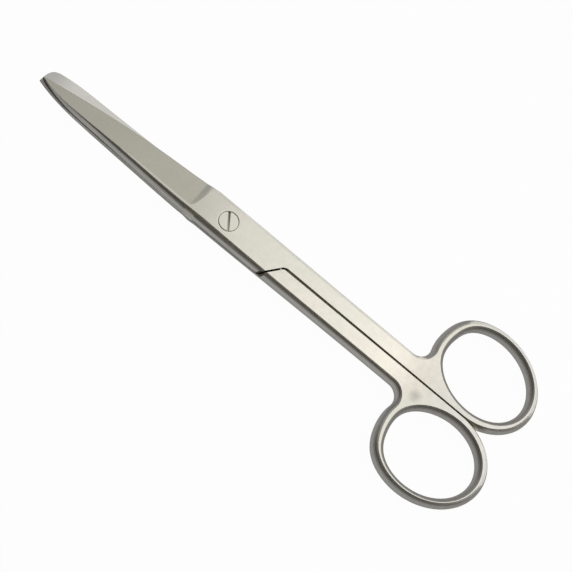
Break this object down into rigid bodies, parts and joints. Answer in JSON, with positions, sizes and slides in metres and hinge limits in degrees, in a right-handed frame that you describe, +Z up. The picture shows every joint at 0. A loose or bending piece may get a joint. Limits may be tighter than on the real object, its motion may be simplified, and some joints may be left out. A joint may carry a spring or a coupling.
{
  "type": "disposable scissors",
  "caption": "Straight all-metal operating scissors with one sharp and one blunt tip, oval finger rings and a flush slotted pivot screw.",
  "frame": {"origin": "on the pivot axis, at the underside the closed scissors rest on", "axes": "+X along the scissors towards the tips, +Y towards the ring of the lower half, +Z up through the screw head"},
  "size_m": [0.1468, 0.0514, 0.0042],
  "materials": {
    "upper_half": "satin ground steel, brighter polished edges",
    "lower_half": "satin ground steel, brighter polished edges",
    "pivot_screw": "satin turned steel"
  },
  "bodies": {
    "lower": {"lower_half": "lower_half", "pivot_screw": "pivot_screw"},
    "upper": {"upper_half": "upper_half"}
  },
  "joints": [
    {"name": "pivot", "type": "hinge", "parent": "lower", "child": "upper", "pos_m": [0, 0, 0.0021], "axis": [0, 0, 1], "range_deg": [0, 80]}
  ]
}
